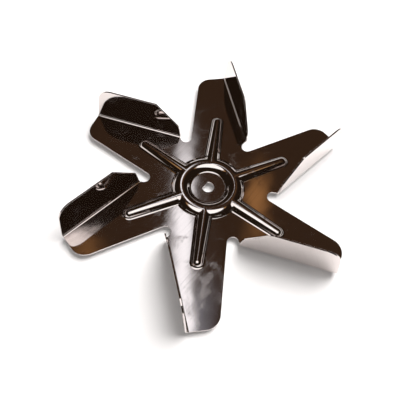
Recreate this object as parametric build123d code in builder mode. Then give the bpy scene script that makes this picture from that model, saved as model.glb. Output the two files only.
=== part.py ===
"""Axial fan impeller, pressed from one blank of bright sheet steel.

Six flat arms leave a common web.  Each arm has one plain edge and one edge folded square
upwards as the blade.  The middle is embossed with a raised ring round a dished seat, and six
tapered stiffening ribs run from the ring out along the arms.  The bore is a flatted circle.

Frame: millimetres, +Z up.  The origin is on the fan axis in the plane of the underside, and
the first arm runs along +Y.  The blades stand on the +Z side.  One arm with its rib and its
blade is drawn along +X and then patterned round the axis.
"""

import os
from math import atan, atan2, cos, degrees, radians, sin, sqrt, tan

from build123d import *

# ---- driving dimensions -------------------------------------------------------------------
ARM_COUNT = 6
FIRST_ARM_ANGLE = 90.0       # the first arm lies along +Y
SHEET = 0.8                  # thickness of the steel
FAN_DIAMETER = 150.0         # over the outer ends of the folds

BORE_DIAMETER = 6.0          # shaft hole
BORE_ACROSS_FLAT = 5.0       # from the flat, which faces the first arm, to the far side

FOLD_ANGLE = 20.3            # fold line against the axis of its arm
FOLD_OFFSET = 26.1           # fan axis to the inner face of a blade, at its foot
BEND_ANGLE = 88.0            # how far a blade is folded up
BEND_RADIUS = 1.0            # inside radius of the fold
BEND_LAP = 0.5               # how far a blade's section runs into its arm before it bends

RELIEF_CIRCLE = 33.0         # radius on which the relief holes between the arms lie
RELIEF_RADIUS = 2.9          # round end of the gap between two arms

PLAIN_EDGE_ANGLE = 1.7       # plain edge of an arm against the arm's axis
TIP_ANGLE = 14.7             # tip edge against a square cut
TIP_CORNER_RADIUS = 7.5      # corner between plain edge and tip edge

BLADE_HEIGHT = 19.6          # free edge above the top of the sheet
BLADE_START = 3.1            # centre of the relief hole to the foot of the blade's inner end
BLADE_INNER_HEIGHT = 7.2     # top of the short inner end, where the chamfer starts
BLADE_INNER_RAKE = 1.3       # how far the inner end leans outwards over its height
BLADE_CHAMFER_RUN = 12.0     # length of the chamfer along the fold
BLADE_TIP_RAKE = 8.0         # lean of the blade's outer end towards the axis
BLADE_CORNER_RADIUS = 7.5    # corner between free edge and outer end

EMBOSS_HEIGHT = 2.5          # crown of ring and ribs above the top of the sheet
SEAT_RADIUS = 8.8            # flat seat round the bore
RING_INNER_CREST = 11.7      # where the ring's inner wall would meet the level of its crown
RING_OUTER_CREST = 16.3      # where the ring's outer wall would meet the level of its crown
RING_FOOT = 18.2             # where the ring's outer wall meets the web
RING_ROUND = 4.6             # outside radius over the ring's crown

RIB_ROOT = 13.7              # the ribs start inside the ring's crown
RIB_ROOT_HALF_WIDTH = 4.15   # over the feet of a rib's walls
RIB_ROOT_CREST = 2.0         # where a rib's wall would meet the level of its crown
RIB_ROOT_ROUND = 4.2         # outside radius over a rib's crown
RIB_END = 41.7               # centre of a rib's round end
RIB_END_HALF_WIDTH = 3.15
RIB_END_CREST = 1.5
RIB_END_ROUND = 2.7

FLARE = 1.5                  # flat run beside the crisp foot of a pressed wall


def polar(radius, angle):
    """Point in the plane of the sheet at a radius and an angle from +X."""
    return Vector(radius * cos(radians(angle)), radius * sin(radians(angle)))


def crossing(start, angle, other_start, other_angle):
    """Point where two lines meet, each given by a point and its direction."""
    along = polar(1.0, angle)
    across = polar(1.0, other_angle + 90.0)
    return start + along * ((other_start - start).dot(across) / along.dot(across))


def slip(skin, height, run):
    """Sideways shift of a wall of that height and run when its skin is taken off it."""
    return skin * tan(atan(height / run) / 2)


# ---- places on one arm that lies along +X ---------------------------------------------------
fold_along = polar(1.0, FOLD_ANGLE)
fold_outwards = polar(1.0, FOLD_ANGLE - 90.0)
fold_foot = fold_outwards * FOLD_OFFSET
relief_run = sqrt(RELIEF_CIRCLE**2 - FOLD_OFFSET**2)
tip_run = sqrt((FAN_DIAMETER / 2) ** 2 - FOLD_OFFSET**2)
relief_centre = fold_foot + fold_along * relief_run
relief_angle = degrees(atan2(relief_centre.Y, relief_centre.X))
next_relief_centre = polar(RELIEF_CIRCLE, relief_angle + 360.0 / ARM_COUNT)
fold_tip = fold_foot + fold_along * tip_run

bend = radians(BEND_ANGLE)
bend_setback = BEND_RADIUS * tan(bend / 2)
bend_line = relief_centre - fold_outwards * bend_setback
plain_start = next_relief_centre + polar(RELIEF_RADIUS, PLAIN_EDGE_ANGLE - 90.0)
tip_direction = 90.0 + TIP_ANGLE
bend_tip = crossing(bend_line, FOLD_ANGLE, fold_tip, tip_direction)
tip_corner = crossing(plain_start, PLAIN_EDGE_ANGLE, fold_tip, tip_direction)

fold_section = Plane(origin=fold_foot, x_dir=fold_outwards, z_dir=-fold_along)
fold_face = Plane(origin=fold_foot + Vector(0, 0, SHEET), x_dir=fold_along, z_dir=fold_outwards)

# ---- flat arm -------------------------------------------------------------------------------
with BuildSketch() as arm_outline:
    with BuildLine():
        FilletPolyline(
            (0, 0),
            relief_centre,
            bend_line,
            bend_tip,
            tip_corner,
            plain_start,
            next_relief_centre,
            radius=[0, 0, 0, 0, TIP_CORNER_RADIUS, 0, 0],
            close=True,
        )
    make_face()

# ---- folded blade: an L section along the fold, trimmed to the blade's outline -----------------
lean = BLADE_HEIGHT / tan(bend)
tip_lean = (BLADE_HEIGHT - BEND_RADIUS) * tan(radians(BLADE_TIP_RAKE))
blade_tip = (bend_tip - fold_foot).dot(fold_along)
blade_foot = relief_run + BLADE_START
chamfer_start = blade_foot + BLADE_INNER_RAKE

with BuildPart() as blade:
    with BuildSketch(fold_section):
        with BuildLine():
            FilletPolyline(
                (-bend_setback - BEND_LAP, SHEET),
                (0, SHEET),
                (lean, SHEET + BLADE_HEIGHT),
                (lean + SHEET * sin(bend), SHEET + BLADE_HEIGHT - SHEET * cos(bend)),
                (SHEET * tan(bend / 2), 0),
                (-bend_setback - BEND_LAP, 0),
                radius=[0, BEND_RADIUS, 0, 0, BEND_RADIUS + SHEET, 0],
                close=True,
            )
        make_face()
    extrude(amount=-FAN_DIAMETER / 2)
    with BuildSketch(fold_face):
        with BuildLine():
            FilletPolyline(
                (blade_foot, -SHEET),
                (blade_foot, 0),
                (chamfer_start, BLADE_INNER_HEIGHT),
                (chamfer_start + BLADE_CHAMFER_RUN, BLADE_HEIGHT),
                (blade_tip - tip_lean, BLADE_HEIGHT),
                (blade_tip, BEND_RADIUS),
                (blade_tip, -SHEET),
                radius=[0, 0, 0, 0, BLADE_CORNER_RADIUS, 0, 0],
                close=True,
            )
        make_face()
    extrude(amount=BLADE_HEIGHT / 2, both=True, mode=Mode.INTERSECT)


# ---- pressed forms: the outer skin fills a form, the inner skin hollows it ---------------------
def ring_form(skin):
    """Raised ring, with the given thickness of skin taken off its outside."""
    base = SHEET - skin
    crown = base + EMBOSS_HEIGHT
    inner = slip(skin, EMBOSS_HEIGHT, RING_INNER_CREST - SEAT_RADIUS)
    outer = slip(skin, EMBOSS_HEIGHT, RING_FOOT - RING_OUTER_CREST)
    with BuildPart() as form:
        with BuildSketch(Plane.XZ):
            with BuildLine():
                FilletPolyline(
                    (SEAT_RADIUS - FLARE, base - SHEET),
                    (SEAT_RADIUS - FLARE, base),
                    (SEAT_RADIUS + inner, base),
                    (RING_INNER_CREST + inner, crown),
                    (RING_OUTER_CREST - outer, crown),
                    (RING_FOOT - outer, base),
                    (RING_FOOT + FLARE, base),
                    (RING_FOOT + FLARE, base - SHEET),
                    radius=[0, 0, 0, RING_ROUND - skin, RING_ROUND - skin, 0, 0, 0],
                    close=True,
                )
            make_face()
        revolve(axis=Axis.Z)
    return form.part


def rib_section(plane, half_width, crest, crown_round, skin):
    """Half of a rib's section on a plane whose X runs across the rib."""
    base = SHEET - skin
    crown = base + EMBOSS_HEIGHT
    shift = slip(skin, EMBOSS_HEIGHT, half_width - crest)
    with BuildSketch(plane) as section:
        with BuildLine():
            FilletPolyline(
                (0, base - SHEET),
                (0, crown),
                (crest - shift, crown),
                (half_width - shift, base),
                (half_width + FLARE, base),
                (half_width + FLARE, base - SHEET),
                radius=[0, 0, crown_round - skin, 0, 0, 0],
                close=True,
            )
        make_face()
    return section.sketch


def rib_form(skin):
    """One rib along +X, tapering outwards to a round end."""
    root = Plane(origin=(RIB_ROOT, 0, 0), x_dir=(0, 1, 0), z_dir=(1, 0, 0))
    end = Plane(origin=(RIB_END, 0, 0), x_dir=(0, 1, 0), z_dir=(1, 0, 0))
    root_half = rib_section(root, RIB_ROOT_HALF_WIDTH, RIB_ROOT_CREST, RIB_ROOT_ROUND, skin)
    end_half = rib_section(end, RIB_END_HALF_WIDTH, RIB_END_CREST, RIB_END_ROUND, skin)
    with BuildPart() as form:
        loft([root_half.face(), end_half.face()])
        mirror(about=Plane.XZ)
        add(end_half)
        revolve(axis=Axis((RIB_END, 0, 0), (0, 0, 1)), revolution_arc=-180.0)
    return form.part


# ---- the stamping -----------------------------------------------------------------------------
with BuildPart() as impeller:
    with BuildSketch():
        with PolarLocations(0, ARM_COUNT, start_angle=FIRST_ARM_ANGLE):
            add(arm_outline.sketch)
        with PolarLocations(RELIEF_CIRCLE, ARM_COUNT, start_angle=FIRST_ARM_ANGLE + relief_angle):
            Circle(RELIEF_RADIUS, mode=Mode.SUBTRACT)
    extrude(amount=SHEET)
    with PolarLocations(0, ARM_COUNT, start_angle=FIRST_ARM_ANGLE):
        add(blade.part)
    for skin, step in ((0.0, Mode.ADD), (SHEET, Mode.SUBTRACT)):
        add(ring_form(skin), mode=step)
        with PolarLocations(0, ARM_COUNT, start_angle=FIRST_ARM_ANGLE):
            add(rib_form(skin), mode=step)
    with BuildSketch():
        Circle(BORE_DIAMETER / 2)
        with Locations((0, BORE_ACROSS_FLAT - BORE_DIAMETER / 2)):
            Rectangle(BORE_DIAMETER, BORE_DIAMETER, align=(Align.CENTER, Align.MIN),
                      mode=Mode.SUBTRACT)
    extrude(amount=SHEET, mode=Mode.SUBTRACT)

impeller.part.label = "impeller"

os.makedirs("parts", exist_ok=True)
export_step(impeller.part, "parts/impeller.step")
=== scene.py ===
"""Bright pressed-steel axial fan impeller, worked out as one closed sheet of even thickness.

Six flat arms leave a common web.  Each has a blade folded up along one edge, and the middle
is pressed into a raised ring with six tapered ribs.  The sheet's upper skin is a set of grids
that follow the pressed forms and the folds.  The lower skin is the upper one moved in along
its normals, and a rounded rim joins the two round the outline and round the shaft hole.

Frame: metres, +Z up along the fan axis, the first arm along +Y, the underside at height zero.
"""

from math import atan2, cos, pi, radians, sin, sqrt, tan

import bpy
import numpy as np
from bpy.props import FloatProperty, FloatVectorProperty, PointerProperty
from bpy.types import Operator, Panel, PropertyGroup
from mathutils import Matrix


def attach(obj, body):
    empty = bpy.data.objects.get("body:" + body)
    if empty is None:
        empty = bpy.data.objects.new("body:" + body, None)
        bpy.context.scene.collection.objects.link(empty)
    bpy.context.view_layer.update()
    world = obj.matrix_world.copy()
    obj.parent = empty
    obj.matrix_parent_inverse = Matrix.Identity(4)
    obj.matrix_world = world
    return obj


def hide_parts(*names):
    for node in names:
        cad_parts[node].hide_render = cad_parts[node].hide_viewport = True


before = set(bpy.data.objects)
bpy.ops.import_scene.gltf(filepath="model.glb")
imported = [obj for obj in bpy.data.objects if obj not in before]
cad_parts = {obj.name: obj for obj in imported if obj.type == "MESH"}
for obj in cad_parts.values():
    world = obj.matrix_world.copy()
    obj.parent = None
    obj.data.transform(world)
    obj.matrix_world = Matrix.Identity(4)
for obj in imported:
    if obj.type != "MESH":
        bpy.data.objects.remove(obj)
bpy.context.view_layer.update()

bl_info = {
    "name": "Pressed fan impeller",
    "version": (1, 0, 0),
    "blender": (4, 5, 0),
    "location": "3D View > Sidebar > Impeller",
    "description": "Builds an axial fan impeller pressed from one steel sheet, and its stage",
    "category": "Add Mesh",
}

ARM_COUNT = 6
FIRST_ARM = radians(90.0)    # the first arm lies along +Y
SECTOR = 2 * pi / ARM_COUNT

# Camera: place in metres, turns about X, Y and Z in degrees, sensor and lens in millimetres.
CAMERA_PLACE = (-0.11689, -0.07605, 0.22361)
CAMERA_TURN = (30.508, -1.69, -52.56)
SENSOR_WIDTH = 36.0
LENS = 46.75

# Key light: round the fan axis, then down from overhead.
KEY_TURN = radians(75.0)
KEY_LEAN = radians(28.0)

FLOOR_SIDES = 64

# Numbers that only keep the arithmetic sound.
SLOPE_STEP = 2e-6            # half span over which a slope is taken
LEAST_SOFTNESS = 1e-12
LEAST_SINE = 1e-6
LEAST_COSINE = 0.6           # sharpest turn an offset edge is lengthened for
WELD_GRID = 1e-7             # points closer than this become one
COLUMN_ROUNDS = 6            # repeats that settle a rib's columns on a circle

# Cells along each span of the grids.
BORE_ROWS = 5
RING_ROWS = (1, 5, 1, 9, 1, 10, 1, 5, 2)
WEB_ROWS = 6
RELIEF_ROWS = 14
RIB_ROWS = 5
RIB_END_ROWS = 24
FREE_ROWS = 8
CORNER_CELLS = 10
SIDE_COLUMNS = 6
RIB_COLUMNS = (1, 9, 1, 5, 2)
BEND_COLUMNS = 10
WALL_COLUMNS = 4
RIM_TURNS = 2


# ---- sizes and colours -----------------------------------------------------------------------
class SheetSizes(PropertyGroup):
    """Sizes of the pressed sheet."""

    sheet: FloatProperty(
        name="Sheet", description="Thickness of the steel",
        default=0.0008, unit="LENGTH")
    edge_round: FloatProperty(
        name="Edge round", description="Radius left on the cut edges by tumbling",
        default=0.00012, unit="LENGTH")
    fan_radius: FloatProperty(
        name="Fan radius", description="Axis to the outer ends of the folds",
        default=0.075, unit="LENGTH")
    bore_radius: FloatProperty(
        name="Bore radius", description="Round part of the shaft hole",
        default=0.003, unit="LENGTH")
    bore_flat: FloatProperty(
        name="Bore flat", description="Axis to the flat of the shaft hole",
        default=0.002, unit="LENGTH")

    fold_angle: FloatProperty(
        name="Fold angle", description="Fold line against the axis of its arm",
        default=radians(20.3), subtype="ANGLE")
    fold_offset: FloatProperty(
        name="Fold offset", description="Axis to the inner face of a blade at its foot",
        default=0.0261, unit="LENGTH")
    bend_angle: FloatProperty(
        name="Bend angle", description="How far a blade is folded up",
        default=radians(88.0), subtype="ANGLE")
    bend_radius: FloatProperty(
        name="Bend radius", description="Inside radius of the fold",
        default=0.001, unit="LENGTH")
    relief_circle: FloatProperty(
        name="Relief circle", description="Axis to the centres of the relief holes",
        default=0.033, unit="LENGTH")
    relief_radius: FloatProperty(
        name="Relief radius", description="Round end of the gap between two arms",
        default=0.0029, unit="LENGTH")
    plain_edge_angle: FloatProperty(
        name="Plain edge angle", description="Plain edge against the axis of its arm",
        default=radians(1.7), subtype="ANGLE")
    tip_angle: FloatProperty(
        name="Tip angle", description="Tip edge against a square cut",
        default=radians(14.7), subtype="ANGLE")
    tip_corner: FloatProperty(
        name="Tip corner", description="Radius between plain edge and tip edge",
        default=0.0075, unit="LENGTH")

    blade_height: FloatProperty(
        name="Blade height", description="Free edge above the top of the sheet",
        default=0.0196, unit="LENGTH")
    blade_start: FloatProperty(
        name="Blade start", description="Centre of the relief hole to the foot of the blade",
        default=0.0031, unit="LENGTH")
    inner_end_height: FloatProperty(
        name="Inner end height", description="Height at which the chamfer starts",
        default=0.0072, unit="LENGTH")
    inner_end_rake: FloatProperty(
        name="Inner end rake", description="Lean of the blade's inner end over its height",
        default=0.0013, unit="LENGTH")
    chamfer_run: FloatProperty(
        name="Chamfer run", description="Length of the blade's chamfer along the fold",
        default=0.012, unit="LENGTH")
    blade_tip_rake: FloatProperty(
        name="Tip rake", description="Lean of the blade's outer end towards the axis",
        default=radians(8.0), subtype="ANGLE")
    blade_corner: FloatProperty(
        name="Blade corner", description="Radius between free edge and outer end",
        default=0.0075, unit="LENGTH")

    emboss_height: FloatProperty(
        name="Emboss height", description="Crowns above the top of the sheet",
        default=0.0023, unit="LENGTH")
    seat_radius: FloatProperty(
        name="Seat radius", description="Flat seat round the bore",
        default=0.0091, unit="LENGTH")
    ring_inner_crest: FloatProperty(
        name="Ring inner crest", description="Where the ring's inner wall meets its crown level",
        default=0.0117, unit="LENGTH")
    ring_outer_crest: FloatProperty(
        name="Ring outer crest", description="Where the ring's outer wall meets its crown level",
        default=0.0163, unit="LENGTH")
    ring_foot: FloatProperty(
        name="Ring foot", description="Where the ring's outer wall meets the web",
        default=0.018, unit="LENGTH")
    ring_round: FloatProperty(
        name="Ring round", description="Outside radius over the ring's crown",
        default=0.0046, unit="LENGTH")
    rib_root: FloatProperty(
        name="Rib root", description="Axis to the start of a rib, inside the ring's crown",
        default=0.0137, unit="LENGTH")
    rib_root_half_width: FloatProperty(
        name="Rib root half width", description="Half a rib's width over its walls at its root",
        default=0.00395, unit="LENGTH")
    rib_root_crest: FloatProperty(
        name="Rib root crest", description="Where a rib's wall meets its crown level at its root",
        default=0.002, unit="LENGTH")
    rib_root_round: FloatProperty(
        name="Rib root round", description="Outside radius over a rib's crown at its root",
        default=0.0042, unit="LENGTH")
    rib_end: FloatProperty(
        name="Rib end", description="Axis to the centre of a rib's round end",
        default=0.0417, unit="LENGTH")
    rib_end_half_width: FloatProperty(
        name="Rib end half width", description="Half a rib's width over its walls at its end",
        default=0.00295, unit="LENGTH")
    rib_end_crest: FloatProperty(
        name="Rib end crest", description="Where a rib's wall meets its crown level at its end",
        default=0.0015, unit="LENGTH")
    rib_end_round: FloatProperty(
        name="Rib end round", description="Outside radius over a rib's crown at its end",
        default=0.0027, unit="LENGTH")
    foot_round: FloatProperty(
        name="Foot round", description="Inside radius at the foot of a wall",
        default=0.0014, unit="LENGTH")
    valley_round: FloatProperty(
        name="Valley round", description="How softly a rib runs into the ring",
        default=0.0006, unit="LENGTH")
    flare: FloatProperty(
        name="Flare", description="Flat run beside the foot of a pressed wall",
        default=0.0015, unit="LENGTH")


class SteelFinish(PropertyGroup):
    """Finish of the bright sheet steel."""

    colour: FloatVectorProperty(
        name="Colour", description="Colour of the polished steel",
        default=(0.76, 0.70, 0.68), subtype="COLOR", size=3, min=0.0, max=1.0)
    haze_colour: FloatVectorProperty(
        name="Haze colour", description="Colour where handling has dulled the steel",
        default=(0.66, 0.60, 0.575), subtype="COLOR", size=3, min=0.0, max=1.0)
    polish: FloatProperty(
        name="Polish", description="Roughness of the clean steel",
        default=0.055, subtype="FACTOR", min=0.0, max=1.0)
    haze: FloatProperty(
        name="Haze", description="Roughness where the steel is dulled",
        default=0.24, subtype="FACTOR", min=0.0, max=1.0)
    wave_height: FloatProperty(
        name="Wave height", description="How far the sheet is from dead flat",
        default=0.00012, unit="LENGTH", precision=6)
    line_height: FloatProperty(
        name="Line height", description="Height of the rolling lines",
        default=0.000006, unit="LENGTH", precision=6)
    roll_turn: FloatProperty(
        name="Roll turn", description="Direction of the rolling lines on the blank",
        default=radians(24.0), subtype="ANGLE")
    rub_turn: FloatProperty(
        name="Rub turn", description="Direction of the scratches on the blank",
        default=radians(-38.0), subtype="ANGLE")


class StudioLook(PropertyGroup):
    """Floor, room and lamps round the impeller."""

    floor_drop: FloatProperty(
        name="Floor drop", description="Gap between the hub seat's underside and the floor",
        default=0.003, unit="LENGTH", min=0.0)
    floor_radius: FloatProperty(
        name="Floor radius", description="Radius of the round floor",
        default=6.0, unit="LENGTH")
    floor_colour: FloatVectorProperty(
        name="Floor colour", description="Colour of the pale floor",
        default=(0.76, 0.755, 0.755), subtype="COLOR", size=3, min=0.0, max=1.0)
    lift_colour: FloatVectorProperty(
        name="Lift colour", description="Colour of the glow that lifts the floor to the eye",
        default=(1.0, 0.985, 0.98), subtype="COLOR", size=3, min=0.0, max=1.0)
    lift: FloatProperty(
        name="Lift", description="Strength of the glow that lifts the floor to the eye",
        default=0.08, subtype="FACTOR", min=0.0)
    horizon_colour: FloatVectorProperty(
        name="Horizon colour", description="Pale wall round the floor",
        default=(1.0, 0.97, 0.94), subtype="COLOR", size=3, min=0.0, max=1.0)
    dark_colour: FloatVectorProperty(
        name="Dark colour", description="Unlit upper part of the room",
        default=(0.016, 0.010, 0.006), subtype="COLOR", size=3, min=0.0, max=1.0)
    room_colour: FloatVectorProperty(
        name="Room colour", description="Faintly lit ceiling beyond the impeller",
        default=(0.040, 0.0215, 0.012), subtype="COLOR", size=3, min=0.0, max=1.0)
    panel_colour: FloatVectorProperty(
        name="Panel colour", description="Round soft light overhead, behind the camera",
        default=(1.0, 0.98, 0.97), subtype="COLOR", size=3, min=0.0, max=1.0)
    rim_colour: FloatVectorProperty(
        name="Rim colour", description="Warm glow round the soft light",
        default=(0.48, 0.27, 0.11), subtype="COLOR", size=3, min=0.0, max=1.0)
    strip_colour: FloatVectorProperty(
        name="Strip colour", description="Narrow white light overhead",
        default=(0.95, 0.96, 1.0), subtype="COLOR", size=3, min=0.0, max=1.0)
    haze_light_colour: FloatVectorProperty(
        name="Haze light colour", description="Weak cool light beside the strip",
        default=(0.17, 0.17, 0.19), subtype="COLOR", size=3, min=0.0, max=1.0)
    amber_colour: FloatVectorProperty(
        name="Amber colour", description="Narrow amber light overhead",
        default=(0.36, 0.17, 0.06), subtype="COLOR", size=3, min=0.0, max=1.0)
    key_size: FloatProperty(
        name="Key size", description="Diameter of the soft key light",
        default=1.1, unit="LENGTH")
    key_distance: FloatProperty(
        name="Key distance", description="Fan axis to the key light",
        default=1.3, unit="LENGTH")
    key_power: FloatProperty(
        name="Key power", description="Power of the key light",
        default=30.0, unit="POWER")
    key_colour: FloatVectorProperty(
        name="Key colour", description="Colour of the key light",
        default=(1.0, 0.98, 0.97), subtype="COLOR", size=3, min=0.0, max=1.0)


# ---- plane geometry --------------------------------------------------------------------------
def polar(radius, angle):
    """Points at a radius and an angle: radius times cosine and sine of the angle."""
    return np.stack(np.broadcast_arrays(radius * np.cos(angle), radius * np.sin(angle)), -1)


def line(start, end, cells):
    """Points from start to end in equal steps, both ends included."""
    share = np.linspace(0.0, 1.0, cells + 1)[:, None]
    return start + (end - start) * share


def arc(centre, radius, first, last, cells):
    """Points round a centre from the first angle to the last in equal turns."""
    return centre + polar(radius, np.linspace(first, last, cells + 1))


def spread(edges, cells):
    """Values that pass through every edge, each span cut into its count of equal parts."""
    spans = [np.linspace(a, b, n, endpoint=False) for a, b, n in zip(edges, edges[1:], cells)]
    return np.concatenate(spans + [np.array(edges[-1:])])


def crossing(start, angle, other_start, other_angle):
    """Where two lines meet: the first start plus the run along its line that brings the
    distance to the other line to nothing."""
    along = polar(1.0, angle)
    across = polar(1.0, other_angle + pi / 2)
    return start + along * ((other_start - start) @ across / (along @ across))


def rounded_corner(corner, before, after, radius, cells):
    """Arc that replaces a corner, from the line that arrives at angle before to the line that
    leaves at angle after.  Its centre lies at the radius from both lines."""
    turn = after - before
    side = np.sign(turn)
    start = corner - polar(radius * tan(abs(turn) / 2), before)
    centre = start + polar(radius, before + side * pi / 2)
    return arc(centre, radius, before - side * pi / 2, after - side * pi / 2, cells)


def fill(first, last, left, right):
    """Coons patch over four boundary curves that meet at their ends: the blend of first and
    last, plus the blend of left and right, less the blend of the four corners.  Rows run
    from first to last and columns from left to right, spaced as the curves' points are."""
    row = np.linspace(0.0, 1.0, len(left))[:, None, None]
    column = np.linspace(0.0, 1.0, len(first))[None, :, None]
    across = left[:, None] * (1 - column) + right[:, None] * column
    along = first[None] * (1 - row) + last[None] * row
    corners = ((first[0] * (1 - column) + first[-1] * column) * (1 - row)
               + (last[0] * (1 - column) + last[-1] * column) * row)
    return across + along - corners


# ---- pressed forms ---------------------------------------------------------------------------
def wall_knees(run, crown_round, s):
    """Slope of a pressed wall, and how far its rounds reach along it at crown and at foot:
    the radius times the tangent of half the slope."""
    slope = np.arctan2(s.emboss_height, run)
    return slope, crown_round * np.tan(slope / 2), s.foot_round * np.tan(slope / 2)


def wall_height(distance, run, crown_round, s):
    """Height of a pressed wall at a distance outside its crest: level, then an arc over the
    crown, a straight fall of the emboss height over the run, an arc at the foot, and level
    again."""
    slope, reach, toe = wall_knees(run, crown_round, s)
    over = crown_round**2 - (distance + reach) ** 2
    under = s.foot_round**2 - (run + toe - distance) ** 2
    return np.select(
        [
            distance < -reach,
            distance < reach * np.cos(slope),
            distance < run - toe * np.cos(slope),
            distance < run + toe,
        ],
        [
            s.emboss_height,
            s.emboss_height - crown_round + np.sqrt(np.maximum(over, 0.0)),
            s.emboss_height * (1 - distance / run),
            s.foot_round - np.sqrt(np.maximum(under, 0.0)),
        ],
        0.0,
    )


def rib_taper(x, s):
    """Half width, crest and crown round of a rib along it: each goes straight from its size
    at the root to its size at the round end."""
    share = np.clip((x - s.rib_root) / (s.rib_end - s.rib_root), 0.0, 1.0)
    return (
        s.rib_root_half_width + share * (s.rib_end_half_width - s.rib_root_half_width),
        s.rib_root_crest + share * (s.rib_end_crest - s.rib_root_crest),
        s.rib_root_round + share * (s.rib_end_round - s.rib_root_round),
    )


def pressed_height(x, y, s):
    """Height of the pressed forms over an arm that lies along +X: the greater of ring and rib,
    raised in the valley between them by the square of their overlap over four times the
    valley's round, which fades out at the crown and at the foot."""
    radius = np.hypot(x, y)
    inner_run = s.ring_inner_crest - s.seat_radius
    outer_run = s.ring_foot - s.ring_outer_crest
    ring = np.minimum(
        wall_height(s.ring_inner_crest - radius, inner_run, s.ring_round, s),
        wall_height(radius - s.ring_outer_crest, outer_run, s.ring_round, s),
    )
    across = np.where(x > s.rib_end, np.hypot(x - s.rib_end, y), np.abs(y))
    half_width, crest, crown_round = rib_taper(x, s)
    rib = wall_height(across - crest, half_width - crest, crown_round, s)
    rib = np.where(x > s.rib_root, rib, 0.0)
    shared = np.minimum(ring, rib) / s.emboss_height
    softness = 4 * s.valley_round * shared * (1 - shared)
    overlap = np.maximum(softness - np.abs(ring - rib), 0.0)
    return np.maximum(ring, rib) + overlap**2 / np.maximum(4 * softness, LEAST_SOFTNESS)


def pressed_skin(plan, s):
    """Points and normals of the pressed upper skin over a plan: the height is that of the
    pressed forms, and the normal is (-slope along X, -slope along Y, 1) made unit length."""
    x, y = plan[..., 0], plan[..., 1]
    step = SLOPE_STEP
    slope_x = (pressed_height(x + step, y, s) - pressed_height(x - step, y, s)) / (2 * step)
    slope_y = (pressed_height(x, y + step, s) - pressed_height(x, y - step, s)) / (2 * step)
    normals = np.stack([-slope_x, -slope_y, np.ones_like(x)], -1)
    normals /= np.linalg.norm(normals, axis=-1, keepdims=True)
    height = s.sheet + pressed_height(x, y, s)
    return np.concatenate([plan, height[..., None]], -1), normals


# ---- outline of one arm that lies along +X -----------------------------------------------------
class ArmLines:
    """Places on one arm in the plane of the sheet."""

    def __init__(self, s):
        self.along = polar(1.0, s.fold_angle)
        self.outwards = polar(1.0, s.fold_angle - pi / 2)
        self.foot = self.outwards * s.fold_offset
        relief_run = sqrt(s.relief_circle**2 - s.fold_offset**2)
        self.relief = self.foot + self.along * relief_run
        self.relief_angle = atan2(self.relief[1], self.relief[0])
        self.next_relief = polar(s.relief_circle, self.relief_angle + SECTOR)
        self.setback = s.bend_radius * tan(s.bend_angle / 2)
        self.inset = -self.outwards * self.setback
        tip_run = sqrt(s.fan_radius**2 - s.fold_offset**2)
        tip_direction = pi / 2 + s.tip_angle
        fold_tip = self.foot + self.along * tip_run
        across = s.plain_edge_angle - pi / 2
        self.plain_start = self.next_relief + polar(s.relief_radius, across)
        self.bend_tip = crossing(
            self.relief + self.inset, s.fold_angle, fold_tip, tip_direction)
        corner = crossing(self.plain_start, s.plain_edge_angle, fold_tip, tip_direction)
        self.corner_arc = rounded_corner(
            corner, s.plain_edge_angle, tip_direction - pi, s.tip_corner, 2 * CORNER_CELLS)
        self.blade_foot = relief_run + s.blade_start
        self.blade_tip = (self.bend_tip - self.foot) @ self.along
        self.bend_foot = self.foot + self.along * self.blade_foot + self.inset


def arm_side(angle, relief, first, last, end, s):
    """Boundary of an arm on one side, from the ring's flare outwards: along the line between
    two arms, round the relief hole from the first angle to the last, and one step to the end."""
    hub = polar(s.ring_foot + s.flare, angle)
    throat = polar(s.relief_circle - s.relief_radius, angle)
    round_end = arc(relief, s.relief_radius, first, last, RELIEF_ROWS)
    return np.concatenate([line(hub, throat, WEB_ROWS)[:-1], round_end, end[None]])


# ---- columns that follow a rib -----------------------------------------------------------------
def rib_columns(x, s):
    """Distances across a rib, at places along it, that keep to the knees of its section:
    crown middle, both ends of the arc over the crown, both ends of the arc at the foot, and
    the end of the flare.  Each column is a fixed blend of two neighbouring knees."""
    half_width, crest, crown_round = rib_taper(x, s)
    slope, reach, toe = wall_knees(half_width - crest, crown_round, s)
    knees = np.stack(
        [
            np.zeros_like(half_width),
            crest - reach,
            crest + reach * np.cos(slope),
            half_width - toe * np.cos(slope),
            half_width + toe,
            half_width + s.flare,
        ],
        -1,
    )
    count = len(RIB_COLUMNS) + 1
    places = spread(np.arange(count), RIB_COLUMNS)
    blend = np.stack([np.interp(places, np.arange(count), row) for row in np.eye(count)])
    half = (blend.T[None] @ knees[..., None])[..., 0]
    return np.concatenate([-half[:, :0:-1], half], -1)


def rib_columns_on(x, s):
    """The same columns where every column has its own place along the rib."""
    rows, columns = x.shape
    picked = rib_columns(x.ravel(), s).reshape(rows, columns, columns)
    return np.diagonal(picked, axis1=1, axis2=2)


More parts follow.
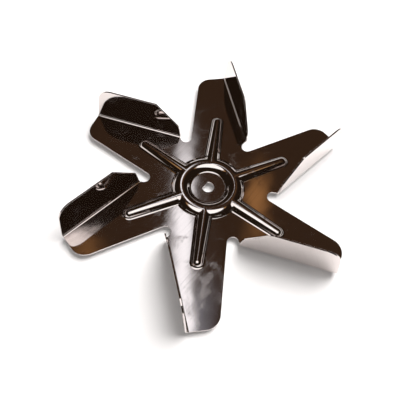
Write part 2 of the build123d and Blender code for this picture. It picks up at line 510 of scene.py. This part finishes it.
def hub_plan(lines, s):
    """Plan of the middle, one sector: circles that keep to the knees of the ring's section,
    crossed by columns that keep to the rib's.  The columns are radial inside the rib's root."""
    inner_slope, inner_reach, inner_toe = wall_knees(
        s.ring_inner_crest - s.seat_radius, s.ring_round, s)
    outer_slope, outer_reach, outer_toe = wall_knees(
        s.ring_foot - s.ring_outer_crest, s.ring_round, s)
    radii = spread(
        [
            s.seat_radius - s.flare,
            s.seat_radius - inner_toe,
            s.seat_radius + inner_toe * cos(inner_slope),
            s.ring_inner_crest - inner_reach * cos(inner_slope),
            s.ring_inner_crest + inner_reach,
            s.ring_outer_crest - outer_reach,
            s.ring_outer_crest + outer_reach * cos(outer_slope),
            s.ring_foot - outer_toe * cos(outer_slope),
            s.ring_foot + outer_toe,
            s.ring_foot + s.flare,
        ],
        RING_ROWS,
    )
    columns = 2 * sum(RIB_COLUMNS) + 1
    on_circle = np.repeat(np.maximum(radii, s.rib_root)[:, None], columns, 1)
    x = on_circle
    for _ in range(COLUMN_ROUNDS):
        x = np.sqrt(on_circle**2 - rib_columns_on(x, s) ** 2)
    band = np.arcsin(rib_columns_on(x, s) / on_circle)
    share = np.linspace(0.0, 1.0, SIDE_COLUMNS + 1)[None]
    first, last = lines.relief_angle, lines.relief_angle + SECTOR
    before = first + (band[:, :1] - first) * share
    after_share = np.linspace(0.0, 1.0, CORNER_CELLS + 1)[None]
    after = band[:, -1:] + (last - band[:, -1:]) * after_share
    angles = np.concatenate([before[:, :-1], band, after[:, 1:]], 1)
    return polar(radii[:, None], angles)


def bore_plan(inner, arm_angle, s):
    """Plan of the seat inside the first circle: every column runs straight in to the outline
    of the shaft hole, which is the nearer of its circle and its flat."""
    angle = np.arctan2(inner[:, 1], inner[:, 0])
    towards_flat = np.maximum(np.sin(angle + arm_angle), LEAST_SINE)
    hole = polar(np.minimum(s.bore_radius, s.bore_flat / towards_flat), angle)
    share = np.linspace(0.0, 1.0, BORE_ROWS + 1)[:-1, None, None]
    return hole[None] + (inner - hole)[None] * share


def arm_plan(lines, ring_row, s):
    """Plan of one arm outside the ring's flare.  The rib's columns run straight out, then
    swing over to the tip edge past the rib's end.  Straight rows join them to both sides."""
    angle = lines.relief_angle
    bend_side = s.fold_angle + np.arcsin(lines.setback / s.relief_radius)
    fold_web = arm_side(angle, lines.relief, angle + pi, bend_side, lines.bend_foot, s)
    angle += SECTOR
    plain_step = lines.plain_start + polar(lines.setback, s.plain_edge_angle)
    plain_web = arm_side(
        angle, lines.next_relief, angle - pi, s.plain_edge_angle - pi / 2, plain_step, s)
    bend_foot, plain_foot = fold_web[-1], plain_web[-1]
    band = slice(SIDE_COLUMNS, -CORNER_CELLS)
    reach = s.rib_end + s.rib_end_half_width + s.flare
    web_rows = len(fold_web) - 1
    root = s.ring_foot + s.flare
    throat = s.relief_circle * cos(lines.relief_angle + SECTOR / 2) - 2 * s.relief_radius
    places = np.concatenate([
        np.linspace(root, throat, WEB_ROWS + 1)[:-1],
        np.linspace(throat, bend_foot[0], RELIEF_ROWS + 2),
    ])
    sag = ring_row[band, 0] - root
    fade = np.linspace(1.0, 0.0, web_rows + 1)[:, None]
    x = places[:, None] + sag[None] * fade
    web_band = np.stack([x, rib_columns_on(x, s)], -1)
    web_band[0] = ring_row[band]
    near = np.linspace(0.0, 1.0, SIDE_COLUMNS + 1)[None, :, None]
    far = np.linspace(0.0, 1.0, CORNER_CELLS + 1)[None, :, None]
    before = fold_web[:, None] * (1 - near) + web_band[:, :1] * near
    after = web_band[:, -1:] * (1 - far) + plain_web[:, None] * far
    web = np.concatenate([before[:, :-1], web_band, after[:, 1:]], 1)
    web[0] = ring_row

    half = CORNER_CELLS
    straight = SIDE_COLUMNS + 2 * sum(RIB_COLUMNS)
    tip = np.concatenate([
        line(lines.bend_tip, lines.corner_arc[-1], straight)[:-1],
        lines.corner_arc[half:][::-1],
    ])
    mean_tip = tip[band, 0].mean()
    margin = s.flare / 2
    stations = spread(
        [bend_foot[0], s.rib_end - margin, reach + margin, mean_tip],
        (RIB_ROWS, RIB_END_ROWS, FREE_ROWS + CORNER_CELLS),
    )
    share = ((stations - bend_foot[0]) / (mean_tip - bend_foot[0]))[:, None]
    x = web_band[-1, :, 0] * (1 - share) + tip[band, 0] * share
    free = np.clip((x - reach) / (tip[band, 0] - reach), 0.0, 1.0)
    y = rib_columns_on(x, s) * (1 - free) + tip[band, 1] * free
    out_band = np.stack([x, y], -1)
    rows = len(stations) - 1
    fold = lines.bend_foot + (lines.bend_tip - lines.bend_foot) * share
    plain_share = np.minimum(share / share[rows - half], 1.0)
    plain = plain_foot + (lines.corner_arc[0] - plain_foot) * plain_share
    plain[rows - half:] = lines.corner_arc[:half + 1]
    left = fill(web[-1, :SIDE_COLUMNS + 1], tip[:SIDE_COLUMNS + 1], fold, out_band[:, 0])
    right = fill(web[-1, -half - 1:], tip[-half - 1:], out_band[:, -1], plain)
    arm = np.concatenate([left[:, :-1], out_band, right[:, 1:]], 1)
    return np.concatenate([web, arm[1:]]), web_rows


# ---- folded blade ------------------------------------------------------------------------------
def blade_skin(lines, run, s):
    """Points, normals and unfolded plan of one blade's inner face.  Run is the place of each
    row along the fold.  A quarter bend rolls the sheet up about a line over the bend, and the
    wall above it is a Coons patch over the blade's outline in the plane of the wall."""
    turn = np.linspace(0.0, s.bend_angle, BEND_COLUMNS + 1)
    bend_out = s.bend_radius * np.sin(turn) - lines.setback
    bend_up = s.bend_radius * (1 - np.cos(turn))
    rake = s.inner_end_rake / s.inner_end_height
    share = ((run - run[0]) / (run[-1] - run[0]))[:, None]
    bend_run = run[:, None] + rake * bend_up * (1 - share)

    base = bend_up[-1]
    lean = tan(s.blade_tip_rake)
    chamfer_start = np.array([lines.blade_foot + s.inner_end_rake, s.inner_end_height])
    chamfer_end = np.array([chamfer_start[0] + s.chamfer_run, s.blade_height])
    corner = np.array([lines.blade_tip - (s.blade_height - base) * lean, s.blade_height])
    corner_arc = rounded_corner(
        corner, 0.0, s.blade_tip_rake - pi / 2, s.blade_corner, 2 * CORNER_CELLS)
    half = CORNER_CELLS
    rows = len(run) - 1
    chamfer_rows = RIB_ROWS + RIB_END_ROWS // 2
    top = np.concatenate([
        line(chamfer_start, chamfer_end, chamfer_rows)[:-1],
        line(chamfer_end, corner_arc[0], rows - half - chamfer_rows)[:-1],
        corner_arc[:half + 1],
    ])
    bottom = np.stack([bend_run[:, -1], np.full(rows + 1, base)], -1)
    inner_end = line(bottom[0], chamfer_start, WALL_COLUMNS + half)
    outer_end = np.concatenate([
        line(bottom[-1], corner_arc[-1], WALL_COLUMNS)[:-1],
        corner_arc[half:][::-1],
    ])
    wall = fill(bottom, top, inner_end, outer_end).transpose(1, 0, 2)[:, 1:]

    along = np.concatenate([bend_run, wall[..., 0]], 1)
    up = np.concatenate([np.repeat(bend_up[None], rows + 1, 0), wall[..., 1]], 1)
    out = np.concatenate(
        [np.repeat(bend_out[None], rows + 1, 0), wall[..., 1] / tan(s.bend_angle)], 1)
    plan = lines.foot + along[..., None] * lines.along + out[..., None] * lines.outwards
    points = np.concatenate([plan, (s.sheet + up)[..., None]], -1)
    lap = np.concatenate([turn, np.full(WALL_COLUMNS + half, s.bend_angle)])
    outwards = np.append(lines.outwards, 0.0)
    upwards = np.array([0.0, 0.0, 1.0])
    normals = np.cos(lap)[:, None] * upwards - np.sin(lap)[:, None] * outwards
    normals = np.repeat(normals[None], rows + 1, 0)
    length = (s.bend_radius + s.sheet / 2) * lap - lines.setback
    length = length + np.maximum(up - base, 0.0) / sin(s.bend_angle)
    blank = lines.foot + along[..., None] * lines.along + length[..., None] * lines.outwards
    return points, normals, blank


# ---- closed sheet ------------------------------------------------------------------------------
def turned(vectors, angle):
    """Vectors turned about the fan axis."""
    c, n = cos(angle), sin(angle)
    x, y = vectors[..., 0], vectors[..., 1]
    return np.concatenate(
        [np.stack([x * c - y * n, x * n + y * c], -1), vectors[..., 2:]], -1)


def grid_faces(index):
    """Quads of a grid of vertex numbers, turned the same way as rows against columns."""
    return np.stack(
        [index[:-1, :-1], index[1:, :-1], index[1:, 1:], index[:-1, 1:]], -1).reshape(-1, 4)


def sheet_skin(s):
    """Upper skin of the whole impeller: points, normals, unfolded plan, quads, and the closed
    chains of vertex numbers round the outline and round the shaft hole, with the steel on
    the left hand of each."""
    lines = ArmLines(s)
    hub = hub_plan(lines, s)
    arm, foot_row = arm_plan(lines, hub[-1], s)
    start = BORE_ROWS + len(hub) - 1
    throat_row = start + WEB_ROWS
    foot_row += start
    fold_run = (arm[foot_row - start:, 0] - lines.foot) @ lines.along
    blade, blade_normals, blade_blank = blade_skin(lines, fold_run, s)

    points, normals, blanks, faces, rims, holes = [], [], [], [], [], []
    count = 0
    for number in range(ARM_COUNT):
        angle = FIRST_ARM + number * SECTOR
        plan = np.concatenate([bore_plan(hub[0], angle, s), hub, arm[1:]])
        flat, flat_normals = pressed_skin(plan, s)
        index = np.arange(flat[..., 0].size).reshape(flat.shape[:2]) + count
        count += index.size
        wing = np.arange(blade[..., 0].size).reshape(blade.shape[:2]) + count
        count += wing.size
        points += [turned(flat, angle).reshape(-1, 3), turned(blade, angle).reshape(-1, 3)]
        normals += [turned(flat_normals, angle).reshape(-1, 3),
                    turned(blade_normals, angle).reshape(-1, 3)]
        blanks += [turned(plan, angle).reshape(-1, 2), turned(blade_blank, angle).reshape(-1, 2)]
        faces += [grid_faces(index), grid_faces(wing)[:, ::-1]]
        rims += [
            index[throat_row:foot_row, 0], wing[0], wing[1:, -1], wing[-1, -2::-1],
            index[-1, 1:], index[-2:throat_row:-1, -1],
        ]
        holes += [index[0, :-1][::-1]]
    outline = np.concatenate(rims)
    hole = np.concatenate(holes[::-1])
    return (np.concatenate(points), np.concatenate(normals), np.concatenate(blanks),
            np.concatenate(faces), [outline, hole])


def welded(points):
    """Which points are kept when those at the same place are made one, by rounding to a fine
    grid, and the new number of every old one."""
    keys = np.round(points / WELD_GRID).astype(np.int64)
    _, kept, number = np.unique(keys, axis=0, return_index=True, return_inverse=True)
    return kept, number.ravel()


def edge_directions(points, normals):
    """Outward directions across a closed chain, square to its surface normals: the mean of
    those of the two edges that meet at each point.  The second result is lengthened at a
    corner by one over the cosine of half its turn, so that an offset stays parallel."""
    ahead = np.cross(np.roll(points, -1, 0) - points, normals)
    ahead /= np.linalg.norm(ahead, axis=1, keepdims=True)
    behind = np.roll(ahead, 1, 0)
    mean = ahead + behind
    mean /= np.linalg.norm(mean, axis=1, keepdims=True)
    stretch = 1 / np.maximum((mean * ahead).sum(1, keepdims=True), LEAST_COSINE)
    return mean, mean * stretch


def closed_sheet(s):
    """Points, normals, unfolded plan and quads of the closed sheet: upper skin, lower skin one
    thickness in along the normals, and a rim round every chain whose section is a quarter
    round, a straight cut and a quarter round."""
    top, top_normals, top_blank, top_faces, chains = sheet_skin(s)
    kept, number = welded(top)
    top, top_normals, top_blank = top[kept], top_normals[kept], top_blank[kept]
    top_faces = number[top_faces]
    bottom = top - s.sheet * top_normals
    points, normals = [top, bottom], [top_normals, -top_normals]
    blanks = [top_blank, top_blank]
    faces = [top_faces, top_faces[:, ::-1] + len(top)]
    count = 2 * len(top)
    turn = np.linspace(0.0, pi / 2, RIM_TURNS + 1)
    turn = np.concatenate([turn, turn + pi / 2])
    depth = np.repeat([s.edge_round, s.sheet - s.edge_round], RIM_TURNS + 1)
    for chain in chains:
        chain = number[chain]
        edge, facing = top[chain], top_normals[chain]
        outward, offset = edge_directions(edge, facing)
        across = s.edge_round * (np.sin(turn) - 1)
        down = s.edge_round * np.cos(turn) - depth
        rim = edge + offset * across[:, None, None] + facing * down[:, None, None]
        rim_normals = (outward * np.sin(turn)[:, None, None]
                       + facing * np.cos(turn)[:, None, None])
        top[chain] = rim[0]
        bottom[chain] = rim[-1]
        inner = rim[1:-1].reshape(-1, 3)
        rows = np.arange(len(inner)).reshape(-1, len(chain)) + count
        count += len(inner)
        rows = np.concatenate([chain[None], rows, chain[None] + len(top)])
        rows = np.concatenate([rows, rows[:, :1]], 1)
        points.append(inner)
        normals.append(rim_normals[1:-1].reshape(-1, 3))
        blanks.append(np.tile(top_blank[chain], (len(rim) - 2, 1)))
        faces.append(grid_faces(rows))
    return (np.concatenate(points), np.concatenate(normals), np.concatenate(blanks),
            np.concatenate(faces))


def mesh_object(name, points, faces, normals=None, blank=None):
    """A mesh object at the origin from arrays of points and quads, smooth, with its own
    normals and a UV map that holds the unfolded plan."""
    mesh = bpy.data.meshes.new(name)
    mesh.vertices.add(len(points))
    mesh.vertices.foreach_set("co", points.astype(np.float32).ravel())
    mesh.loops.add(faces.size)
    mesh.loops.foreach_set("vertex_index", faces.astype(np.int32).ravel())
    mesh.polygons.add(len(faces))
    starts = np.arange(len(faces), dtype=np.int32) * faces.shape[1]
    mesh.polygons.foreach_set("loop_start", starts)
    mesh.polygons.foreach_set("use_smooth", np.ones(len(faces), bool))
    if blank is not None:
        layer = mesh.uv_layers.new(name="blank")
        layer.data.foreach_set("uv", blank[faces.ravel()].astype(np.float32).ravel())
    mesh.validate()
    mesh.update(calc_edges=True)
    if normals is not None:
        mesh.normals_split_custom_set_from_vertices(normals.tolist())
    thing = bpy.data.objects.new(name, mesh)
    bpy.context.scene.collection.objects.link(thing)
    return thing


# ---- materials ---------------------------------------------------------------------------------
class Nodes:
    """Short way to add and join shader nodes."""

    def __init__(self, tree):
        self.tree = tree
        tree.nodes.clear()

    def add(self, kind, inputs=None, **settings):
        """A node of a kind.  Inputs maps sockets to values or to other nodes' outputs."""
        node = self.tree.nodes.new(kind)
        for name, value in settings.items():
            setattr(node, name, value)
        for name, value in (inputs or {}).items():
            if isinstance(value, bpy.types.NodeSocket):
                self.tree.links.new(value, node.inputs[name])
            else:
                node.inputs[name].default_value = value
        return node

    def math(self, operation, *values):
        """Result of one math operation."""
        return self.add("ShaderNodeMath", dict(enumerate(values)), operation=operation).outputs[0]

    def ramp(self, value, low, high, to_low=0.0, to_high=1.0):
        """A value eased from one number to another between two bounds."""
        node = self.add(
            "ShaderNodeMapRange", interpolation_type="SMOOTHSTEP",
            inputs={"Value": value, "From Min": low, "From Max": high,
                    "To Min": to_low, "To Max": to_high})
        return node.outputs["Result"]

    def band(self, value, rise, fall):
        """One between two soft edges, nothing outside them.  Each edge is its two bounds."""
        return self.product(self.ramp(value, *rise), self.ramp(value, *fall, 1.0, 0.0))

    def product(self, first, *others):
        """Values multiplied together."""
        for other in others:
            first = self.math("MULTIPLY", first, other)
        return first

    def noise(self, place, settings):
        """Strength of a noise over a place."""
        return self.add("ShaderNodeTexNoise", {"Vector": place, **settings}).outputs["Fac"]

    def mix(self, share, first, second):
        """Two colours mixed by a share."""
        node = self.add(
            "ShaderNodeMix", data_type="RGBA", inputs={0: share, 6: first, 7: second})
        return node.outputs[2]


# Steel: how far the rolled and the rubbed noises are stretched along and across their lines,
# each noise, the values between which it starts and ends to show, and its share of the wear.
ROLLED_STRETCH = (14.0, 900.0, 1.0)
RUBBED_STRETCH = (45.0, 2600.0, 1.0)
LINES = {"Scale": 2.0, "Detail": 4.0, "Roughness": 0.7}
LINES_SHOW, LINES_SHARE, LINES_STRENGTH = (0.48, 0.75), 0.35, 0.2
SCRATCHES = {"Scale": 1.0, "Detail": 1.0, "Distortion": 0.3}
SCRATCHES_SHOW = (0.72, 0.78)
WAVES = {"Scale": 38.0, "Detail": 2.0}
PATCHES = {"Scale": 75.0, "Detail": 6.0, "Roughness": 0.62, "Distortion": 0.8}
PATCHES_SHOW, PATCHES_SHARE = (0.50, 0.74), 0.6


def steel_material(finish):
    """Bright cold-rolled steel.  Fine lines run one way along the unfolded blank, the sheet
    is very slightly uneven, and thin patches and a few scratches are dulled by handling."""
    material = bpy.data.materials.new("bright_sheet_steel")
    material.use_nodes = True
    n = Nodes(material.node_tree)
    blank = n.add("ShaderNodeUVMap", uv_map="blank").outputs["UV"]
    place = n.add("ShaderNodeTexCoord").outputs["Object"]
    rolled = n.add("ShaderNodeMapping", {
        "Vector": blank, "Rotation": (0.0, 0.0, finish.roll_turn), "Scale": ROLLED_STRETCH})
    rubbed = n.add("ShaderNodeMapping", {
        "Vector": blank, "Rotation": (0.0, 0.0, finish.rub_turn), "Scale": RUBBED_STRETCH})
    lines = n.noise(rolled.outputs[0], LINES)
    scratches = n.noise(rubbed.outputs[0], SCRATCHES)
    waves = n.noise(place, WAVES)
    patches = n.noise(place, PATCHES)
    worn = n.math("ADD", n.math("MULTIPLY", n.ramp(patches, *PATCHES_SHOW), PATCHES_SHARE),
                  n.math("MULTIPLY", n.ramp(lines, *LINES_SHOW), LINES_SHARE))
    worn = n.math("ADD", worn, n.ramp(scratches, *SCRATCHES_SHOW))
    worn = n.math("MINIMUM", worn, 1.0)
    colour = n.mix(worn, (*finish.colour, 1.0), (*finish.haze_colour, 1.0))
    roughness = n.ramp(worn, 0.0, 1.0, finish.polish, finish.haze)
    uneven = n.add("ShaderNodeBump", {
        "Height": waves, "Strength": 1.0, "Distance": finish.wave_height})
    grained = n.add("ShaderNodeBump", {
        "Height": lines, "Strength": LINES_STRENGTH, "Distance": finish.line_height,
        "Normal": uneven.outputs[0]})
    shader = n.add("ShaderNodeBsdfPrincipled", {
        "Base Color": colour, "Metallic": 1.0, "Roughness": roughness,
        "Normal": grained.outputs[0]})
    n.add("ShaderNodeOutputMaterial", {"Surface": shader.outputs[0]})
    return material


FLOOR_GRAIN = {"Scale": 900.0, "Detail": 2.0}
FLOOR_GRAIN_HEIGHT = 0.0001
FLOOR_GRAIN_STRENGTH = 0.05


def floor_material(look):
    """Matt pale floor.  Rays from the camera and from the steel see it lifted a little, and
    it still takes the impeller's shadow."""
    material = bpy.data.materials.new("pale_floor")
    material.use_nodes = True
    n = Nodes(material.node_tree)
    place = n.add("ShaderNodeTexCoord").outputs["Object"]
    bump = n.add("ShaderNodeBump", {
        "Height": n.noise(place, FLOOR_GRAIN), "Strength": FLOOR_GRAIN_STRENGTH,
        "Distance": FLOOR_GRAIN_HEIGHT})
    shade = n.add("ShaderNodeBsdfDiffuse", {
        "Color": (*look.floor_colour, 1.0), "Normal": bump.outputs[0]})
    path = n.add("ShaderNodeLightPath").outputs
    seen = n.math("MAXIMUM", path["Is Camera Ray"],
                  n.math("MAXIMUM", path["Is Glossy Ray"], path["Is Transmission Ray"]))
    lift = n.add("ShaderNodeEmission", {
        "Color": (*look.lift_colour, 1.0), "Strength": n.math("MULTIPLY", seen, look.lift)})
    both = n.add("ShaderNodeAddShader", {0: shade.outputs[0], 1: lift.outputs[0]})
    n.add("ShaderNodeOutputMaterial", {"Surface": both.outputs[0]})
    return material


# Room: what is seen in a direction, by its run to the right and its run away over its rise.
# Each light has a soft edge where it begins and one where it ends, along both runs.
ROOM_TURN = radians(60.0)    # brings the room's away direction onto +Y
LEAST_RISE = 0.02
CEILING_EDGE = (0.04, 0.20)
GLOW_SIDES = (0.30, 0.46)
GLOW_AWAY = ((0.12, 0.30), (1.1, 1.5))
HAZE_RIGHT = ((-0.03, -0.02), (-0.02, 0.04))
HAZE_AWAY = ((0.05, 0.2), (0.34, 0.43))
STRIP_RIGHT = ((-0.094, -0.064), (-0.046, -0.027))
STRIP_AWAY = ((0.05, 0.2), (0.60, 0.86))
STRIP_PIVOT, STRIP_SLANT = 0.40, 0.13
AMBER_RIGHT = ((0.045, 0.085), (0.085, 0.12))
AMBER_AWAY = ((0.46, 0.62), (0.60, 0.74))
AMBER_NOISE, AMBER_WANDER = {"Scale": 9.0, "Detail": 2.0}, 0.06
SPOT_RIGHT = ((-0.32, -0.27), (-0.27, -0.22))
SPOT_AWAY = ((0.38, 0.43), (0.43, 0.48))
SPOT_SHARE = 0.5
PANEL_RIGHT, PANEL_AWAY = -0.01, -0.2
PANEL_EDGE = (0.43, 0.47)
RIM_REACH = ((0.45, 0.48), (0.49, 0.54))
RIM_AWAY = ((-0.40, -0.25), (0.10, 0.22))
RIM_LEFT = (-0.1, 0.1)
RIM_FAR = (-0.06, 0.02)
LIGHT_STRENGTH = 1.4


def room_world(look):
    """Room round the stage, by direction.  The pale walls end in an unlit ceiling.  Overhead
    hang a white panel with an amber rim behind the camera, a narrow white strip with a faint
    cool light beside it, a narrow amber lamp and a small amber spot.  Sideways and near
    overhead the ceiling is darker than beyond the impeller."""
    world = bpy.data.worlds.new("room")
    world.use_nodes = True
    n = Nodes(world.node_tree)
    direction = n.add("ShaderNodeTexCoord").outputs["Generated"]
    facing = n.add("ShaderNodeMapping", {
        "Vector": direction, "Rotation": (0.0, 0.0, ROOM_TURN)}).outputs[0]
    axes = n.add("ShaderNodeSeparateXYZ", {"Vector": facing}).outputs
    rise = n.math("MAXIMUM", axes["Z"], LEAST_RISE)
    right = n.math("DIVIDE", axes["X"], rise)
    away = n.math("DIVIDE", axes["Y"], rise)

    sides = n.math("ABSOLUTE", right)
    glow = n.product(n.ramp(sides, *GLOW_SIDES, 1.0, 0.0), n.band(away, *GLOW_AWAY))
    ceiling = n.mix(glow, (*look.dark_colour, 1.0), (*look.room_colour, 1.0))
    colour = n.mix(n.ramp(axes["Z"], *CEILING_EDGE), (*look.horizon_colour, 1.0), ceiling)

    haze = n.product(n.band(right, *HAZE_RIGHT), n.band(away, *HAZE_AWAY))
    colour = n.mix(haze, colour, (*look.haze_light_colour, 1.0))
    drift = n.math("MULTIPLY", n.math("SUBTRACT", away, STRIP_PIVOT), STRIP_SLANT)
    slant = n.math("ADD", right, drift)
    strip = n.product(n.band(slant, *STRIP_RIGHT), n.band(away, *STRIP_AWAY))
    colour = n.mix(strip, colour, (*look.strip_colour, 1.0))

    wander = n.math("SUBTRACT", n.noise(facing, AMBER_NOISE), 0.5)
    sideways = n.math("ADD", right, n.math("MULTIPLY", wander, AMBER_WANDER))
    amber = n.product(n.band(sideways, *AMBER_RIGHT), n.band(away, *AMBER_AWAY))
    spot = n.product(n.band(right, *SPOT_RIGHT), n.band(away, *SPOT_AWAY), SPOT_SHARE)
    colour = n.mix(n.math("MAXIMUM", amber, spot), colour, (*look.amber_colour, 1.0))

    from_middle = [n.math("POWER", n.math("SUBTRACT", run, middle), 2.0)
                   for run, middle in ((right, PANEL_RIGHT), (away, PANEL_AWAY))]
    reach = n.math("SQRT", n.math("ADD", *from_middle))
    rim_side = n.math("MAXIMUM", n.ramp(right, *RIM_LEFT, 1.0, 0.0), n.ramp(away, *RIM_FAR))
    rim = n.product(n.band(reach, *RIM_REACH), n.band(away, *RIM_AWAY), rim_side)
    colour = n.mix(rim, colour, (*look.rim_colour, 1.0))
    panel = n.ramp(reach, *PANEL_EDGE, 1.0, 0.0)
    colour = n.mix(panel, colour, (*look.panel_colour, 1.0))
    lit = n.math("MAXIMUM", panel, strip)
    background = n.add("ShaderNodeBackground", {
        "Color": colour, "Strength": n.ramp(lit, 0.0, 1.0, 1.0, LIGHT_STRENGTH)})
    n.add("ShaderNodeOutputWorld", {"Surface": background.outputs[0]})
    return world


# ---- operators ---------------------------------------------------------------------------------
class IMPELLER_OT_sheet(Operator):
    """Press the impeller from one sheet and give it its steel finish"""

    bl_idname = "impeller.sheet"
    bl_label = "Press impeller"

    def execute(self, context):
        """Builds the closed sheet in the place of the solid impeller."""
        points, normals, blank, faces = closed_sheet(context.scene.impeller_sizes)
        sheet = mesh_object("impeller_sheet", points, faces, normals, blank)
        sheet.data.materials.append(steel_material(context.scene.impeller_finish))
        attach(sheet, "root")
        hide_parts("impeller")
        return {"FINISHED"}


class IMPELLER_OT_stage(Operator):
    """Lay the floor, light the room and set the camera"""

    bl_idname = "impeller.stage"
    bl_label = "Set stage"

    def execute(self, context):
        """Builds everything round the impeller that is not part of it."""
        look = context.scene.impeller_look
        number = np.arange(FLOOR_SIDES)
        plan = np.concatenate([
            polar(look.floor_radius, number * 2 * pi / FLOOR_SIDES), np.zeros((1, 2))])
        points = np.concatenate([plan, np.full((FLOOR_SIDES + 1, 1), -look.floor_drop)], 1)
        middle = np.full(FLOOR_SIDES, FLOOR_SIDES)
        faces = np.stack([middle, number, np.roll(number, -1)], -1)
        floor = mesh_object("floor", points, faces)
        floor.data.materials.append(floor_material(look))

        context.scene.world = room_world(look)

        key = bpy.data.lights.new("key_light", "AREA")
        key.shape = "DISK"
        key.size = look.key_size
        key.energy = look.key_power
        key.color = look.key_colour
        lamp = bpy.data.objects.new("key_light", key)
        aim = Matrix.Rotation(KEY_TURN, 4, "Z") @ Matrix.Rotation(KEY_LEAN, 4, "X")
        lamp.matrix_world = aim @ Matrix.Translation((0.0, 0.0, look.key_distance))
        lamp.visible_glossy = False
        context.scene.collection.objects.link(lamp)

        view = bpy.data.cameras.new("camera")
        view.sensor_width = SENSOR_WIDTH
        view.lens = LENS
        eye = bpy.data.objects.new("camera", view)
        eye.location = CAMERA_PLACE
        eye.rotation_euler = [radians(angle) for angle in CAMERA_TURN]
        context.scene.collection.objects.link(eye)
        context.scene.camera = eye
        context.scene.view_settings.view_transform = "Standard"
        return {"FINISHED"}


class IMPELLER_PT_panel(Panel):
    """Sizes, finish and stage of the impeller."""

    bl_label = "Pressed impeller"
    bl_idname = "IMPELLER_PT_panel"
    bl_space_type = "VIEW_3D"
    bl_region_type = "UI"
    bl_category = "Impeller"

    def draw(self, context):
        """Lists every setting under the operator that reads it."""
        scene = context.scene
        for operator, groups in (
            (IMPELLER_OT_sheet, (scene.impeller_sizes, scene.impeller_finish)),
            (IMPELLER_OT_stage, (scene.impeller_look,)),
        ):
            self.layout.operator(operator.bl_idname)
            box = self.layout.box()
            for group in groups:
                for name in group.__annotations__:
                    box.prop(group, name)


CLASSES = (
    SheetSizes, SteelFinish, StudioLook, IMPELLER_OT_sheet, IMPELLER_OT_stage, IMPELLER_PT_panel,
)


def register():
    """Adds the classes, and the settings to the scene."""
    for kind in CLASSES:
        bpy.utils.register_class(kind)
    bpy.types.Scene.impeller_sizes = PointerProperty(type=SheetSizes)
    bpy.types.Scene.impeller_finish = PointerProperty(type=SteelFinish)
    bpy.types.Scene.impeller_look = PointerProperty(type=StudioLook)


def unregister():
    """Takes the settings and the classes away again."""
    del bpy.types.Scene.impeller_sizes
    del bpy.types.Scene.impeller_finish
    del bpy.types.Scene.impeller_look
    for kind in reversed(CLASSES):
        bpy.utils.unregister_class(kind)


def main():
    """Builds the impeller and its stage."""
    register()
    bpy.ops.impeller.sheet()
    bpy.ops.impeller.stage()


if __name__ == "__main__":
    main()
